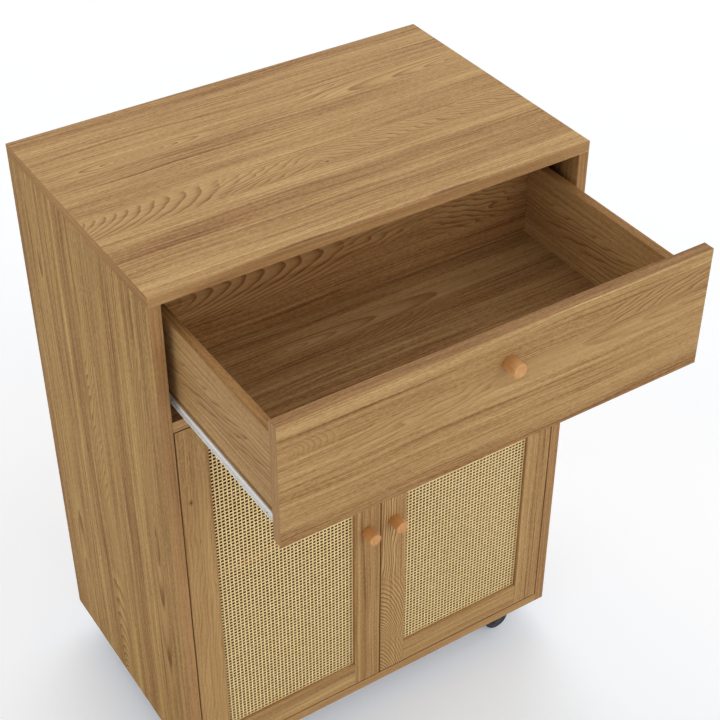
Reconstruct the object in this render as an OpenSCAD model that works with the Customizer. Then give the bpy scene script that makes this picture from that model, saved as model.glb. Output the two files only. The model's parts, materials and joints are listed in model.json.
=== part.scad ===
// Kitchen cabinet on casters with one drawer and two cane-panel doors.
// Millimetres, +Z up, front towards -Y. The origin lies on the floor,
// below the middle of the cabinet with its drawer open.

/* [Carcass] */
// Width over the side panels
cabinet_w = 600; // [520:10:760]
// Depth from the front edges to the back edges
cabinet_d = 380; // [370:5:460]
// Height of the carcass without its casters
carcass_h = 802; // [740:1:900]
// Thickness of the carcass boards
board_t = 15; // [14:0.5:18]
// Clear height of the drawer opening
drawer_opening_h = 165; // [155:1:200]
// Thickness of the back panel
back_t = 5; // [3:0.5:6]
// Distance from the back edges to the back panel
back_inset = 10; // [8:1:20]
// Depth of the grooves that hold the back panel
groove_depth = 6; // [4:0.5:8]

/* [Inner shelf] */
// Thickness of the inner shelf
shelf_t = 15; // [12:0.5:18]
// Height of the shelf's underside above the bottom panel
shelf_rise = 288; // [200:1:360]
// Distance from the front edges to the shelf
shelf_setback = 40; // [36:1:90]
// Gap at each end of the shelf
shelf_gap = 0.8; // [0.5:0.1:0.9]
// Diameter of the shelf pins
shelf_pin_d = 5; // [4:0.5:6]
// Step between the rows of shelf pin holes
pin_step = 32; // [25:1:40]

/* [Drawer] */
// How far the drawer stands open
drawer_open = 238; // [200:1:245]
// Gap round the drawer front and the doors
reveal_gap = 1.5; // [1.4:0.1:2.5]
// Thickness of the drawer front
drawer_front_t = 15; // [12:0.5:18]
// Length of the drawer box and of its runners
drawer_len = 300; // [280:5:320]
// Thickness of the drawer sides and back
drawer_side_t = 12; // [9:0.5:15]
// Height of the drawer sides above the drawer bottom
drawer_side_h = 103.5; // [80:0.5:110]
// Thickness of the drawer bottom
drawer_bottom_t = 6; // [3:0.5:8]
// Space between a side panel and the drawer side
runner_clear = 11.5; // [11.5:0.1:13]
// Height of the drawer bottom above the divider
drawer_lift = 21; // [20.5:0.5:25]

/* [Runners] */
// Sheet thickness of the steel runners
runner_t = 1.2; // [1:0.1:1.4]
// Height of the web under the drawer
web_drop = 7; // [6:0.5:7]
// Width of the lip at the bottom of the web
lip_w = 2.7; // [2:0.1:3]
// Width of the leg under the drawer bottom
leg_w = 12; // [8:0.5:16]
// Width of the flanges of the channel on the side panel
flange_w = 6.3; // [6:0.1:6.5]
// Diameter of the rear rollers
rear_roller_d = 12; // [10:0.5:12]
// Diameter of the front rollers
front_roller_d = 11; // [9:0.5:11]
// Width of each roller
roller_w = 4; // [3.5:0.1:4]

/* [Doors] */
// Thickness of the door frames
door_t = 15; // [14:0.5:18]
// Gap between the two doors
meeting_gap = 2; // [1.5:0.1:3]
// Width of the stiles and rails
frame_w = 40.5; // [38:0.5:55]
// Distance from the door's face to the cane
cane_recess = 4.5; // [3:0.1:6]
// Thickness of the cane
cane_t = 1.5; // [1:0.1:2]
// Number of openings across one cane panel
cane_cells = 10; // [6:1:12]
// Width of cane between two openings
cane_bar = 9; // [6:0.5:9.5]
// Width of the rebate that takes the cane
rebate_w = 8; // [5:0.5:10]
// Thickness of the beads behind the cane
bead_t = 6; // [4:0.5:6.5]

/* [Pivots and catches] */
// Distance from the pivot axis to the door's edge and face
pivot_in = 4; // [3.8:0.1:4.4]
// Diameter of the pivot pins
pivot_d = 4; // [3:0.1:4]
// Length of the pivot leaves
leaf_len = 32; // [24:1:36]
// Width of the pivot leaves
leaf_w = 7; // [6:0.1:7.4]
// Thickness of the pivot leaf in the door
leaf_t = 2; // [1.5:0.1:3]
// Thickness of the pivot plate in the carcass
bush_t = 2.5; // [2:0.1:4]
// Radius of the outer front edge of each door
corner_r = 1; // [1:0.1:1.5]
// Width, depth and height of each magnetic catch
catch_w = 36; // [28:1:40]
catch_d = 15; // [12:1:18]
catch_h = 16; // [12:1:20]
// Thickness of the strike plates
strike_t = 1.2; // [0.8:0.1:2]

/* [Knobs] */
// Diameter of the knobs
knob_d = 17.5; // [14:0.5:25]
// Length of the knobs
knob_len = 20; // [16:0.5:30]
// Distance from the drawer front's top edge to the knob's axis
drawer_knob_drop = 40; // [20:1:80]
// Diameter of the knob screws
screw_d = 4; // [3:0.5:5]
// Length of the thread in the knob
screw_reach = 12; // [8:0.5:13]

/* [Casters] */
// Height from the floor to the bottom panel
caster_h = 48; // [48:1:60]
// Diameter of the wheels
wheel_d = 40; // [34:1:40]
// Width of the wheels
wheel_w = 18; // [12:0.5:18]
// Offset from the swivel axis to the axle
trail = 18; // [16:0.5:18]
// Distance from the cabinet's side to the swivel axis
caster_in_x = 50; // [40:1:80]
// Distance from the bottom panel's front or back edge to the swivel axis
caster_in_y = 30; // [24:1:40]
// Side of the square caster plates
plate_w = 42; // [42:1:46]
// Thickness of the caster plates
plate_t = 2.5; // [2:0.1:3]

/* [Hidden] */
$fn = 64;

// Colours as the finished pieces show them
oak = "#b39160";
oak_edge = "#a98055";
cane_color = "#dcc48a";
beech = "#c4875a";
epoxy_white = "#ecebe8";
steel = "#b9bbbd";
nylon = "#e3e1da";
caster_black = "#3a3b3d";

// Clearances
touch_gap = 0.3;
groove_play = 0.2;
cane_play = 0.5;
bore_play = 0.05;

// Planes of the carcass
front_y = -(cabinet_d - drawer_open - knob_len) / 2;
rear_y = front_y + cabinet_d;
back_y = rear_y - back_inset - back_t;
base_z = caster_h;
top_z = base_z + carcass_h;
side_top = top_z - board_t;
side_in = cabinet_w / 2 - board_t;
divider_top = side_top - drawer_opening_h;
divider_under = divider_top - board_t;
bottom_top = base_z + board_t;

// Cam locks: the cam's own size and where its bolt enters
cam_r = 7.5;
cam_depth = 12;
cam_reach = 24;
cam_play = 0.1;
cam_front = 75;
cam_back = 85;
bolt_r = 3;
bolt_hole_r = 3.2;
thread_r = 2.5;
thread_hole_r = 2.6;
thread_len = 11;
cam_ys = [front_y + cam_front, rear_y - cam_back];

// Shelf pins
pin_hole_depth = 9;
pin_out = 8;
pin_pad_t = 2;
pin_from_front = 50;
pin_from_back = 60;
pin_rows = 3;
shelf_z = bottom_top + shelf_rise;
pin_ys = [front_y + shelf_setback + pin_from_front, back_y - pin_from_back];

// Drawer
box_w = 2 * (side_in - runner_clear);
drawer_face = front_y - drawer_open;
box_front = drawer_face + drawer_front_t;
box_back = box_front + drawer_len;
box_z = divider_top + drawer_lift;
box_floor = box_z + drawer_bottom_t;
front_low = divider_top + reveal_gap;
front_high = side_top - reveal_gap;
drawer_knob_z = front_high - drawer_knob_drop;

// Runners, with x measured from the side panel's inner face
channel_lift = 0.5;
channel_z = divider_top + channel_lift;
track_z = channel_z + runner_t;
roller_play = 0.15;
rear_roller_z = track_z + roller_play + rear_roller_d / 2;
channel_top = track_z + rear_roller_d + 2 * roller_play;
channel_front = drawer_front_t + 2;
web_x = runner_clear - runner_t;
lip_z = box_z - web_drop;
front_roller_z = lip_z - touch_gap - front_roller_d / 2;
front_stub_in = 12;
front_roller_y = front_y + channel_front + front_stub_in;
roller_gap = 0.5;
front_roller_x = flange_w + roller_gap;
rear_stub_in = 10;
rear_roller_y = box_back - rear_stub_in;
rear_roller_in = 1;
rear_roller_x = runner_t + rear_roller_in;
roller_chamfer = 0.6;
tab_len = 20;
tab_below = 4;
stub_r = 2;
stub_head_r = 3;
stub_head_t = 0.4;
stub_shoulder_r = 3.2;
side_play = 0.2;
slot_len = 5.2;
slot_w = 1.4;
slot_step = 6.4;
slot_start = 18.5;

// Doors: x runs inward from the left side panel's inner face
door_w = side_in - reveal_gap - meeting_gap / 2;
door_low = bottom_top + reveal_gap;
door_high = divider_under - reveal_gap;
door_x = -side_in + reveal_gap;
door_mid = (door_low + door_high) / 2;
pocket_y = front_y + cane_recess;
knob_x = door_x + door_w - frame_w / 2;
pivot_x = door_x + pivot_in;
pivot_y = front_y + pivot_in;
pin_past = 1;
collar_r = 3.4;
pocket_play = 0.4;
pocket_r = pivot_d / 2 + pocket_play;
strike_drop = 3;
strike_h = 13;
strike_w = 30;
catch_y = front_y + door_t + strike_t + touch_gap;
pole_heights = [4, 8];
pole_in = 6;
pole_depth = 7;
pole_w = 1.2;

// Knobs and their screws
knob_edge_r = 1.2;
knob_base = 0.6;
screw_head_r = 4;
screw_head_h = 2.5;
hole_play = 0.25;

// Casters, with heights measured from the floor
plate_z = caster_h - plate_t;
crown_r = 13;
crown_t = 3;
crown_z = plate_z - touch_gap - crown_t;
king_r = 4;
king_head_r = 6.5;
king_head_t = 1.5;
fork_gap = 0.8;
fork_t = 2;
fork_x = wheel_w / 2 + fork_gap;
leg_back = 8;
leg_front = 14;
eye_r = 7;
axle_r = 3;
axle_head_r = 4.5;
axle_head_t = 1;
axle_z = wheel_d / 2;
tread_r = 3;
hub_dish = 1.5;
hub_r = 7;
rim_in = 5;
plate_screw_in = 5;
plate_screw_r = 1.6;
plate_screw_len = 11;
plate_screw_head_r = 3.2;
plate_screw_head_t = 1.8;

// Children on the left as drawn, or mirrored to the right
module on_side(right) {
    mirror([right ? 1 : 0, 0, 0]) children();
}

// Children as drawn, and mirrored about the doors' mid-height
module top_and_bottom() {
    children();
    translate([0, 0, 2 * door_mid]) mirror([0, 0, 1]) children();
}

// Cylinder along X from x0 to x1
module rod_x(r, x0, x1) {
    translate([x0, 0, 0]) rotate([0, 90, 0]) cylinder(r = r, h = x1 - x0);
}

// Bolt of a cam lock along +Z: thread above z = 0, shank below it
module cam_bolt() {
    cylinder(r = thread_r, h = thread_len);
    translate([0, 0, -(cam_reach - cam_r)]) cylinder(r = bolt_r, h = cam_reach - cam_r);
}

// The hole for the bolt, in the board that holds the cam
module bolt_hole() {
    translate([0, 0, -cam_reach]) cylinder(r = bolt_hole_r, h = cam_reach + 1);
}

// Left top joints: the bolt stands in the top panel
module at_top_joints() {
    for (y = cam_ys) translate([-cabinet_w / 2 + board_t / 2, y, side_top]) children();
}

// Left joints of a board between the sides, from the height of the board's underside
module at_end_joints(z) {
    for (y = cam_ys) translate([-side_in, y, z + board_t / 2]) rotate([0, -90, 0]) children();
}

// Cam cylinder that opens on the side panel's inner face
module side_cam(r, depth) {
    for (y = cam_ys) translate([-side_in, y, side_top - cam_reach])
        rotate([0, -90, 0]) cylinder(r = r, h = depth);
}

// Cam cylinder that opens on the underside of a board at height z
module board_cam(r, depth, z) {
    for (y = cam_ys) translate([-side_in + cam_reach, y, z]) cylinder(r = r, h = depth);
}

module top_panel() {
    color(oak) difference() {
        translate([-cabinet_w / 2, front_y, side_top]) cube([cabinet_w, cabinet_d, board_t]);
        for (right = [false, true]) on_side(right)
            at_top_joints() cylinder(r = thread_hole_r, h = thread_len);
    }
}

module side_panel(right) {
    color(oak) on_side(right) difference() {
        translate([-cabinet_w / 2, front_y, base_z]) cube([board_t, cabinet_d, side_top - base_z]);
        translate([-side_in - groove_depth, back_y - groove_play, base_z - 1])
            cube([groove_depth + 1, back_t + 2 * groove_play, side_top - base_z + 2]);
        side_cam(cam_r, cam_depth);
        at_top_joints() bolt_hole();
        for (z = [divider_under, base_z])
            at_end_joints(z) cylinder(r = thread_hole_r, h = thread_len);
        for (y = pin_ys, row = [0 : pin_rows - 1])
            translate([0, y, shelf_z - shelf_pin_d / 2 - pin_pad_t + (row - 1) * pin_step])
                rod_x(shelf_pin_d / 2, -side_in - pin_hole_depth, -side_in + 1);
    }
}

// Board between the side panels with its cam bores, from underside z
module cross_board(z) {
    difference() {
        translate([-side_in, front_y, z]) cube([2 * side_in, back_y - front_y, board_t]);
        for (right = [false, true]) on_side(right) {
            board_cam(cam_r, cam_depth, z);
            at_end_joints(z) bolt_hole();
        }
    }
}

// Recess for a pivot plate and the hole past it, above the left door's outer corner
module bush_recess() {
    translate([pivot_x - leaf_w / 2, pivot_y - leaf_w / 2, divider_under - 1])
        cube([leaf_len, leaf_w, bush_t + 1]);
    translate([pivot_x, pivot_y, divider_under]) cylinder(r = pocket_r, h = bush_t + 2 * pin_past);
}

module divider_panel() {
    color(oak) difference() {
        cross_board(divider_under);
        for (right = [false, true]) on_side(right) bush_recess();
    }
}

// Swivel axis of one caster, with its trail towards the middle
module at_caster(right, back) {
    y = back ? back_y - caster_in_y : front_y + caster_in_y;
    on_side(right) translate([-cabinet_w / 2 + caster_in_x, y, 0]) children();
}

module at_casters() {
    for (right = [false, true], back = [false, true]) at_caster(right, back) children();
}

// The four corners of a caster plate's screws
module at_plate_screws() {
    reach = plate_w / 2 - plate_screw_in;
    for (sx = [-1, 1], sy = [-1, 1]) translate([sx * reach, sy * reach, plate_z]) children();
}

module bottom_panel() {
    color(oak) difference() {
        cross_board(base_z);
        for (right = [false, true]) on_side(right)
            translate([0, 0, 2 * door_mid]) mirror([0, 0, 1]) bush_recess();
        at_casters() at_plate_screws()
            cylinder(r = plate_screw_r, h = plate_t + plate_screw_len);
    }
}

module back_panel() {
    reach = side_in + groove_depth - groove_play;
    color(oak_edge) translate([-reach, back_y, base_z]) cube([2 * reach, back_t, side_top - base_z]);
}

module inner_shelf() {
    half = side_in - shelf_gap;
    depth = back_y - front_y - shelf_setback - touch_gap;
    color(oak) translate([-half, front_y + shelf_setback, shelf_z]) cube([2 * half, depth, shelf_t]);
}

module shelf_pins() {
    color(steel) for (right = [false, true]) on_side(right) for (y = pin_ys) translate([0, y, 0]) {
        translate([0, 0, shelf_z - pin_pad_t - shelf_pin_d / 2])
            rod_x(shelf_pin_d / 2, -side_in - pin_hole_depth, -side_in + pin_out);
        translate([-side_in, -shelf_pin_d / 2, shelf_z - pin_pad_t - shelf_pin_d / 2])
            cube([pin_out, shelf_pin_d, pin_pad_t + shelf_pin_d / 2]);
    }
}

module cam_locks() {
    color(steel) for (right = [false, true]) on_side(right) {
        side_cam(cam_r - cam_play, cam_depth - cam_play);
        at_top_joints() cam_bolt();
        for (z = [divider_under, base_z]) {
            board_cam(cam_r - cam_play, cam_depth - cam_play, z);
            at_end_joints(z) cam_bolt();
        }
    }
}

// Channel on the side panel with the stub that carries the front roller
module cabinet_runner(right) {
    color(epoxy_white) on_side(right) translate([-side_in, front_y + channel_front, 0]) {
        translate([0, 0, channel_z]) cube([runner_t, drawer_len, channel_top + runner_t - channel_z]);
        for (z = [channel_z, channel_top]) translate([0, 0, z]) cube([flange_w, drawer_len, runner_t]);
        translate([0, front_roller_y - front_y - channel_front, front_roller_z]) {
            head_x = front_roller_x + roller_w + side_play;
            rod_x(stub_shoulder_r, 0, front_roller_x - side_play);
            rod_x(stub_r, 0, head_x);
            rod_x(stub_head_r, head_x, head_x + stub_head_t);
        }
    }
}

// Roller about the X axis, starting at x = 0
module roller(d) {
    color(nylon) rotate([0, 90, 0]) rotate_extrude() difference() {
        translate([stub_r + bore_play, 0]) square([d / 2 - stub_r - bore_play, roller_w]);
        for (z = [0, roller_w]) translate([d / 2, z]) rotate(45) square(roller_chamfer, center = true);
    }
}

module cabinet_roller(right) {
    on_side(right) translate([-side_in + front_roller_x, front_roller_y, front_roller_z])
        roller(front_roller_d);
}

module drawer_roller(right) {
    on_side(right) translate([-side_in + rear_roller_x, rear_roller_y, rear_roller_z])
        roller(rear_roller_d);
}

// Leg, web and lip under the drawer, with the tab and stub of the rear roller
module drawer_runner(right) {
    tab_z = rear_roller_z - tab_below;
    color(epoxy_white) on_side(right) translate([-side_in, box_front, 0]) {
        translate([web_x, 0, box_z - runner_t]) cube([runner_t + leg_w, drawer_len, runner_t]);
        translate([web_x, 0, lip_z]) cube([runner_t, drawer_len, web_drop]);
        difference() {
            translate([web_x - lip_w, 0, lip_z]) cube([lip_w, drawer_len - tab_len, runner_t]);
            for (step = [0, 1]) translate([web_x - slot_w, slot_start + step * slot_step, lip_z - 1])
                cube([slot_w, slot_len, runner_t + 2]);
        }
        translate([web_x, drawer_len - tab_len, tab_z]) cube([runner_t, tab_len, lip_z - tab_z]);
        translate([0, rear_roller_y - box_front, rear_roller_z]) {
            rod_x(stub_shoulder_r, rear_roller_x + roller_w + side_play, web_x);
            rod_x(stub_r, rear_roller_x - side_play, web_x);
            rod_x(stub_head_r, rear_roller_x - side_play - stub_head_t, rear_roller_x - side_play);
        }
    }
}

// Hole for a knob screw through a board whose face is at y = 0
module screw_hole(t) {
    rotate([-90, 0, 0]) translate([0, 0, -1]) cylinder(r = screw_d / 2 + hole_play, h = t + 2);
}

module drawer_front() {
    half = side_in - reveal_gap;
    color(oak) difference() {
        translate([-half, drawer_face, front_low])
            cube([2 * half, drawer_front_t, front_high - front_low]);
        translate([0, drawer_face, drawer_knob_z]) screw_hole(drawer_front_t);
    }
}

module drawer_side(right) {
    color(oak) on_side(right) translate([-box_w / 2, box_front, box_floor])
        cube([drawer_side_t, drawer_len, drawer_side_h]);
}

module drawer_back() {
    half = box_w / 2 - drawer_side_t;
    color(oak) translate([-half, box_back - drawer_side_t, box_floor])
        cube([2 * half, drawer_side_t, drawer_side_h]);
}

module drawer_bottom() {
    color(oak) translate([-box_w / 2, box_front, box_z]) cube([box_w, drawer_len, drawer_bottom_t]);
}

// Knob along -Y from y = 0, with a blind bore for its screw
module knob() {
    r = knob_d / 2;
    bore_r = screw_d / 2 + bore_play;
    color(beech) rotate([90, 0, 0]) rotate_extrude() polygon(concat(
        [[bore_r, 0], [r - knob_base, 0], [r, knob_base]],
        [for (a = [0 : 15 : 90])
            [r - knob_edge_r + knob_edge_r * cos(a), knob_len - knob_edge_r + knob_edge_r * sin(a)]],
        [[0, knob_len], [0, screw_reach + 1], [bore_r, screw_reach + 1]]));
}

// Screw from behind a board of thickness t into the knob on its face at y = 0
module knob_screw(t) {
    color(steel) rotate([90, 0, 0]) translate([0, 0, -t]) {
        cylinder(r = screw_d / 2, h = t + screw_reach);
        translate([0, 0, -screw_head_h]) cylinder(r = screw_head_r, h = screw_head_h);
    }
}

module at_drawer_knob() {
    translate([0, drawer_face, drawer_knob_z]) children();
}

module at_door_knob(right) {
    on_side(right) translate([knob_x, front_y, door_mid]) children();
}

// Pocket behind the door's opening that takes the cane and its beads
module cane_pocket() {
    inset = frame_w - rebate_w;
    translate([door_x + inset, pocket_y, door_low + inset])
        cube([door_w - 2 * inset, door_t, door_high - door_low - 2 * inset]);
}

// Recess for the pivot leaf in the top of the door's outer stile
module leaf_recess() {
    translate([pivot_x - leaf_w / 2, pivot_y - leaf_w / 2, door_high - leaf_t])
        cube([leaf_len, leaf_w, leaf_t + 1]);
}

module door_outer_stile(right) {
    color(oak) on_side(right) difference() {
        translate([door_x, front_y, door_low]) linear_extrude(door_high - door_low) {
            translate([corner_r, 0]) square([frame_w - corner_r, door_t]);
            translate([0, corner_r]) square([frame_w, door_t - corner_r]);
            translate([corner_r, corner_r]) circle(r = corner_r);
        }
        cane_pocket();
        top_and_bottom() leaf_recess();
    }
}

module door_inner_stile(right) {
    color(oak) on_side(right) difference() {
        translate([door_x + door_w - frame_w, front_y, door_low])
            cube([frame_w, door_t, door_high - door_low]);
        cane_pocket();
        translate([knob_x, front_y, door_mid]) screw_hole(door_t);
    }
}

// Rail between the stiles, from height z
module door_rail(right, z) {
    color(oak) on_side(right) difference() {
        translate([door_x + frame_w, front_y, z]) cube([door_w - 2 * frame_w, door_t, frame_w]);
        cane_pocket();
    }
}

// Cane sheet with a grid of openings inside the door's frame
module door_cane(right) {
    inset = frame_w - rebate_w + cane_play;
    view_w = door_w - 2 * frame_w;
    view_h = door_high - door_low - 2 * frame_w;
    pitch_x = view_w / cane_cells;
    rows = round(view_h / pitch_x);
    pitch_z = view_h / rows;
    color(cane_color) on_side(right) translate([door_x, pocket_y + cane_t, door_low])
        rotate([90, 0, 0]) linear_extrude(cane_t) difference() {
            translate([inset, inset])
                square([door_w - 2 * inset, door_high - door_low - 2 * inset]);
            for (column = [0 : cane_cells - 1], row = [0 : rows - 1])
                translate([frame_w + (column + 0.5) * pitch_x, frame_w + (row + 0.5) * pitch_z])
                    square([pitch_x - cane_bar, pitch_z - cane_bar], center = true);
        }
}

// Four strips that hold the cane in its pocket
module door_beads(right) {
    inset = frame_w - rebate_w + cane_play;
    width = door_w - 2 * inset;
    height = door_high - door_low - 2 * inset;
    strip = rebate_w - cane_play;
    color(oak) on_side(right) translate([door_x + inset, pocket_y + cane_t, door_low + inset]) {
        for (x = [0, width - strip]) translate([x, 0, 0]) cube([strip, bead_t, height]);
        for (z = [0, height - strip]) translate([strip, 0, z]) cube([width - 2 * strip, bead_t, strip]);
    }
}

// Leaf in the door's end with the pin that stands out of it
module door_pivots(right) {
    color(steel) on_side(right) top_and_bottom() {
        translate([pivot_x - leaf_w / 2, pivot_y - leaf_w / 2, door_high - leaf_t])
            cube([leaf_len, leaf_w, leaf_t]);
        translate([pivot_x, pivot_y, door_high])
            cylinder(r = pivot_d / 2, h = reveal_gap + bush_t + pin_past);
    }
}

// Plates in the divider and the bottom panel, with a collar that the door turns against
module pivot_bushes() {
    color(nylon) for (right = [false, true]) on_side(right) top_and_bottom() difference() {
        union() {
            translate([pivot_x - leaf_w / 2, pivot_y - leaf_w / 2, divider_under])
                cube([leaf_len, leaf_w, bush_t]);
            translate([pivot_x, pivot_y, door_high + touch_gap])
                cylinder(r = collar_r, h = reveal_gap - touch_gap);
        }
        translate([pivot_x, pivot_y, door_high])
            cylinder(r = pivot_d / 2 + bore_play, h = reveal_gap + bush_t + 1);
    }
}

module door_strike(right) {
    color(steel) on_side(right)
        translate([knob_x - strike_w / 2, front_y + door_t, door_high - strike_drop - strike_h])
            cube([strike_w, strike_t, strike_h]);
}

// Magnet housings under the divider, each with two pole slots
module magnetic_catches() {
    color(epoxy_white) for (right = [false, true]) on_side(right)
        translate([knob_x - catch_w / 2, catch_y, divider_under - catch_h]) difference() {
            cube([catch_w, catch_d, catch_h]);
            for (z = pole_heights) translate([pole_in, -1, z])
                cube([catch_w - 2 * pole_in, pole_depth + 1, pole_w]);
        }
}

// Plates with the king pins that the forks turn on
module caster_plates() {
    color(steel) at_casters() {
        difference() {
            translate([-plate_w / 2, -plate_w / 2, plate_z]) cube([plate_w, plate_w, plate_t]);
            at_plate_screws() translate([0, 0, -1]) cylinder(r = plate_screw_r, h = plate_t + 2);
        }
        translate([0, 0, crown_z - touch_gap]) cylinder(r = king_r, h = plate_z - crown_z + touch_gap);
        translate([0, 0, crown_z - touch_gap - king_head_t]) cylinder(r = king_head_r, h = king_head_t);
    }
}

module caster_screws() {
    color(steel) at_casters() at_plate_screws() {
        cylinder(r = plate_screw_r, h = plate_t + plate_screw_len);
        translate([0, 0, -plate_screw_head_t]) cylinder(r = plate_screw_head_r, h = plate_screw_head_t);
    }
}

// Crown on the king pin and two legs down to the axle
module fork(right, back) {
    color(caster_black) at_caster(right, back) {
        difference() {
            translate([0, 0, crown_z]) cylinder(r = crown_r, h = crown_t);
            translate([0, 0, crown_z - 1]) cylinder(r = king_r + bore_play, h = crown_t + 2);
        }
        for (side = [0, 1]) mirror([0, side, 0]) translate([0, fork_x + fork_t, 0]) rotate([90, 0, 0])
            difference() {
                linear_extrude(fork_t) {
                    polygon([[-leg_back, crown_z + crown_t], [leg_front, crown_z + crown_t],
                        [trail + eye_r, axle_z], [trail - eye_r, axle_z]]);
                    translate([trail, axle_z]) circle(r = eye_r);
                }
                translate([trail, axle_z, -1]) cylinder(r = axle_r, h = fork_t + 2);
            }
    }
}

module axle(right, back) {
    reach = fork_x + fork_t;
    color(steel) at_caster(right, back) translate([trail, 0, axle_z]) rotate([90, 0, 0]) {
        translate([0, 0, -reach]) cylinder(r = axle_r, h = 2 * reach);
        for (z = [-reach - axle_head_t, reach]) translate([0, 0, z])
            cylinder(r = axle_head_r, h = axle_head_t);
    }
}

// Wheel with a rounded tread and dished faces
module wheel(right, back) {
    r = wheel_d / 2;
    half = wheel_w / 2;
    color(caster_black) at_caster(right, back) translate([trail, 0, axle_z]) rotate([90, 0, 0])
        rotate_extrude() polygon(concat(
            [[axle_r + bore_play, -half], [hub_r, -half], [hub_r + hub_dish, hub_dish - half],
                [r - rim_in - hub_dish, hub_dish - half], [r - rim_in, -half]],
            [for (a = [-90 : 15 : 0]) [r - tread_r + tread_r * cos(a), tread_r - half + tread_r * sin(a)]],
            [for (a = [0 : 15 : 90]) [r - tread_r + tread_r * cos(a), half - tread_r + tread_r * sin(a)]],
            [[r - rim_in, half], [r - rim_in - hub_dish, half - hub_dish],
                [hub_r + hub_dish, half - hub_dish], [hub_r, half], [axle_r + bore_play, half]]));
}

top_panel();
side_panel(false);  // left_side_panel
side_panel(true);  // right_side_panel
divider_panel();
bottom_panel();
back_panel();
inner_shelf();
shelf_pins();
cam_locks();
cabinet_runner(false);  // left_cabinet_runner
cabinet_runner(true);  // right_cabinet_runner
cabinet_roller(false);  // left_cabinet_roller
cabinet_roller(true);  // right_cabinet_roller
pivot_bushes();
magnetic_catches();
caster_plates();
caster_screws();
drawer_front();
drawer_side(false);  // drawer_left_side
drawer_side(true);  // drawer_right_side
drawer_back();
drawer_bottom();
drawer_runner(false);  // left_drawer_runner
drawer_runner(true);  // right_drawer_runner
drawer_roller(false);  // left_drawer_roller
drawer_roller(true);  // right_drawer_roller
at_drawer_knob() knob();  // drawer_knob
at_drawer_knob() knob_screw(drawer_front_t);  // drawer_knob_screw
door_outer_stile(false);  // left_door_outer_stile
door_inner_stile(false);  // left_door_inner_stile
door_rail(false, door_high - frame_w);  // left_door_top_rail
door_rail(false, door_low);  // left_door_bottom_rail
door_cane(false);  // left_door_cane
door_beads(false);  // left_door_beads
door_pivots(false);  // left_door_pivots
door_strike(false);  // left_door_strike
at_door_knob(false) knob();  // left_door_knob
at_door_knob(false) knob_screw(door_t);  // left_door_knob_screw
door_outer_stile(true);  // right_door_outer_stile
door_inner_stile(true);  // right_door_inner_stile
door_rail(true, door_high - frame_w);  // right_door_top_rail
door_rail(true, door_low);  // right_door_bottom_rail
door_cane(true);  // right_door_cane
door_beads(true);  // right_door_beads
door_pivots(true);  // right_door_pivots
door_strike(true);  // right_door_strike
at_door_knob(true) knob();  // right_door_knob
at_door_knob(true) knob_screw(door_t);  // right_door_knob_screw
fork(false, false);  // front_left_fork
axle(false, false);  // front_left_axle
wheel(false, false);  // front_left_wheel
fork(true, false);  // front_right_fork
axle(true, false);  // front_right_axle
wheel(true, false);  // front_right_wheel
fork(false, true);  // back_left_fork
axle(false, true);  // back_left_axle
wheel(false, true);  // back_left_wheel
fork(true, true);  // back_right_fork
axle(true, true);  // back_right_axle
wheel(true, true);  // back_right_wheel
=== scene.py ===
import json
import math
from collections import namedtuple

import bmesh
import bpy
from mathutils import Euler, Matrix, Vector


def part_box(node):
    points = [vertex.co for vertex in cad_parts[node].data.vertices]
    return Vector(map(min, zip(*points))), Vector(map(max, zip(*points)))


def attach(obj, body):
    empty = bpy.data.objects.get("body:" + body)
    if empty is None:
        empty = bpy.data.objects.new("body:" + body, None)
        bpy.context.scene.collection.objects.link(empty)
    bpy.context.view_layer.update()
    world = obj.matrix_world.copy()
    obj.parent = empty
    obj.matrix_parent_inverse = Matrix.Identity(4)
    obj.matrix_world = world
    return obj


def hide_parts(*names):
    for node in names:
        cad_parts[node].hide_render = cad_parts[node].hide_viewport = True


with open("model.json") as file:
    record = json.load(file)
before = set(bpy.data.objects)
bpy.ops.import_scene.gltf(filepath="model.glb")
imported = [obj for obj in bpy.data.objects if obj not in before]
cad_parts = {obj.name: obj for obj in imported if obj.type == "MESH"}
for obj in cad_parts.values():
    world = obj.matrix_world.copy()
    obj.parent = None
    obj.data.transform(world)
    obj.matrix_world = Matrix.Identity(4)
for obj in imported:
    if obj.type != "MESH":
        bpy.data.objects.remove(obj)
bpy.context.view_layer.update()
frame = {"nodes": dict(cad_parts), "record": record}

MM = 0.001
X, Y, Z = 0, 1, 2

# Camera solved from the photograph's edges, in metres and radians, with its lens and sensor in millimetres
CAMERA_PLACE = (-0.82318, -1.28302, 1.79674)
CAMERA_DOWN = 0.6661
CAMERA_ROUND = -0.5738
CAMERA_LENS = 76.93
CAMERA_SENSOR = 36.0

# Soft lamps: direction from the object, level at which 1 makes a facing white surface white,
# and spread in degrees
LAMPS = {
    "front_lamp": ((0.0, -1.0, 0.25), 0.37, 70),
    "left_lamp": ((-1.0, -0.2, 0.3), 0.34, 70),
    "right_lamp": ((1.0, -0.2, 0.3), 0.37, 70),
    "key_lamp": ((0.45, -0.55, 0.70), 0.175, 60),
    "back_lamp": ((0.0, 0.7, 0.7), 0.53, 80),
    "back_right_lamp": ((0.6, 0.6, 0.6), 0.19, 60),
}

# Level of the world's light on the object
SKY_LEVEL = 0.016

# Meshes copied from the CAD nodes: corners this near are one, and faces this flat are one
WELD_WITHIN = 0.01 * MM
FLAT_TURN = math.radians(1)

# Rounding of the boards' edges, its steps and profile, and the shortest edge that gets it
EDGE_ROUND = 0.4 * MM
EDGE_STEPS = 2
ROUND_PROFILE = 0.5
SHORTEST_ROUNDED = 8 * MM

# Faces that turn more than this meet in a sharp edge
SHARP_TURN = math.radians(30)

# The noise nodes give values round this
NOISE_MIDDLE = 0.5

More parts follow.
